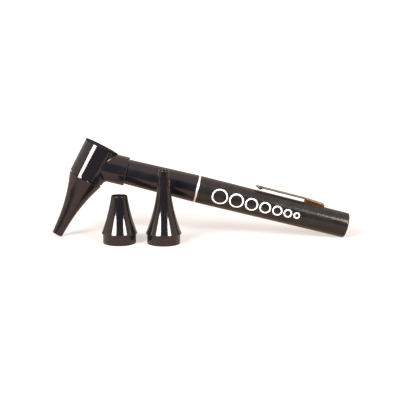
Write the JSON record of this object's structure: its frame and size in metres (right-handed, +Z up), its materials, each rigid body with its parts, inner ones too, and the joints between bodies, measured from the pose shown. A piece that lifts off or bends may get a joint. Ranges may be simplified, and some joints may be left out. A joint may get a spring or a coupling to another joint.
{
  "type": "otoscope",
  "caption": "Pen-type otoscope: battery handle with clip, angled viewing head with lens and ear speculum, resting on its tip, with spare specula standing in front",
  "frame": {"origin": "middle of the base of the whole set, on the table", "axes": "+Z up, +X from the head towards the tail, -Y towards the spare specula"},
  "size_m": [0.1558, 0.0368, 0.0515],
  "materials": {
    "satin_black_metal": "satin black lacquer on aluminium, finely speckled",
    "semi_gloss_black": "semi-gloss black lacquer on aluminium",
    "gloss_black": "polished black moulding",
    "bezel_black": "polished black moulding with a worn bright edge",
    "inner_black": "matte black moulding",
    "lens_glass": "clear polished lens",
    "clear_acrylic": "clear polished acrylic",
    "speculum_black": "polished black moulding",
    "bright_ring": "polished chrome plating",
    "spring_bronze": "phosphor bronze, bright",
    "clip_brass": "dark gilt, polished",
    "fixing_brass": "turned brass",
    "bush_nylon": "natural nylon",
    "contact_nickel": "nickel plated",
    "cell_steel": "bright plated can",
    "cell_wrap": "plain two-colour shrink sleeve",
    "spring_steel": "plated spring wire",
    "insulator_fibre": "red vulcanised fibre",
    "lamp_glass": "clear glass bulb",
    "lamp_shell": "rolled brass screw shell",
    "solder": "solder dot",
    "holder_brass": "turned brass",
    "insulator_white": "white acetal"
  },
  "bodies": {
    "handle": {"battery_tube": "satin_black_metal", "front_cell": "cell_steel", "front_cell_sleeve": "cell_wrap", "rear_cell": "cell_steel", "rear_cell_sleeve": "cell_wrap", "tail_spring": "spring_steel", "tail_contact": "contact_nickel", "tail_insulator": "insulator_fibre", "clip_root": "clip_brass", "clip_rivet": "fixing_brass", "rivet_bush": "bush_nylon", "switch_stud": "contact_nickel"},
    "clip_spring": {"clip_arm": "clip_brass"},
    "ring": {"centre_ring": "bright_ring"},
    "front": {"front_sleeve": "semi_gloss_black", "lamp_holder": "holder_brass", "lamp_base": "lamp_shell", "lamp_glass": "lamp_glass", "lamp_pellet": "solder", "positive_pin": "contact_nickel", "pin_insulator": "insulator_white"},
    "grip": {"grip_ring": "spring_bronze"},
    "head": {"head_housing": "gloss_black", "light_guide": "clear_acrylic"},
    "lens_cap": {"lens_bezel": "bezel_black", "magnifier_lens": "lens_glass", "lens_retainer": "inner_black"},
    "speculum": {"mounted_speculum": "speculum_black"},
    "narrow_spare": {"narrow_spare_speculum": "speculum_black"},
    "wide_spare": {"wide_spare_speculum": "speculum_black"}
  },
  "joints": [
    {"name": "clip_lift", "type": "hinge", "parent": "handle", "child": "clip_spring", "pos_m": [0.0545, 0.00815, 0.02056], "axis": [0, 1, 0], "range_deg": [-1.1, 5], "stiffness_Nm_per_rad": 0.8},
    {"name": "ring_travel", "type": "slide", "parent": "handle", "child": "ring", "axis": [-0.9724, 0, 0.2332], "range_m": [0, 0.00825]},
    {"name": "front_unscrew", "type": "hinge", "parent": "ring", "child": "front", "pos_m": [-0.03916, 0.00815, 0.03397], "axis": [-0.9724, 0, 0.2332], "range_deg": [0, 1980]},
    {"name": "head_turn", "type": "hinge", "parent": "front", "child": "grip", "pos_m": [-0.03916, 0.00815, 0.03397], "axis": [0.9724, 0, -0.2332], "continuous": true},
    {"name": "head_pull", "type": "slide", "parent": "grip", "child": "head", "axis": [-0.9724, 0, 0.2332], "range_m": [0, 0.009]},
    {"name": "lens_pull", "type": "slide", "parent": "head", "child": "lens_cap", "axis": [0.4523, 0.1101, 0.885], "range_m": [0, 0.006]},
    {"name": "speculum_pull", "type": "slide", "parent": "head", "child": "speculum", "axis": [-0.4523, -0.1101, -0.885], "range_m": [0, 0.01]},
    {"name": "narrow_spare_slide", "type": "slide", "parent": "handle", "child": "narrow_spare", "axis": [0, -1, 0], "range_m": [0, 0.04]},
    {"name": "wide_spare_slide", "type": "slide", "parent": "handle", "child": "wide_spare", "axis": [0, -1, 0], "range_m": [0, 0.04]}
  ],
  "couplings": [
    {"joint": "front_unscrew", "follows": "ring_travel", "rad_per_m": 4188.8}
  ]
}
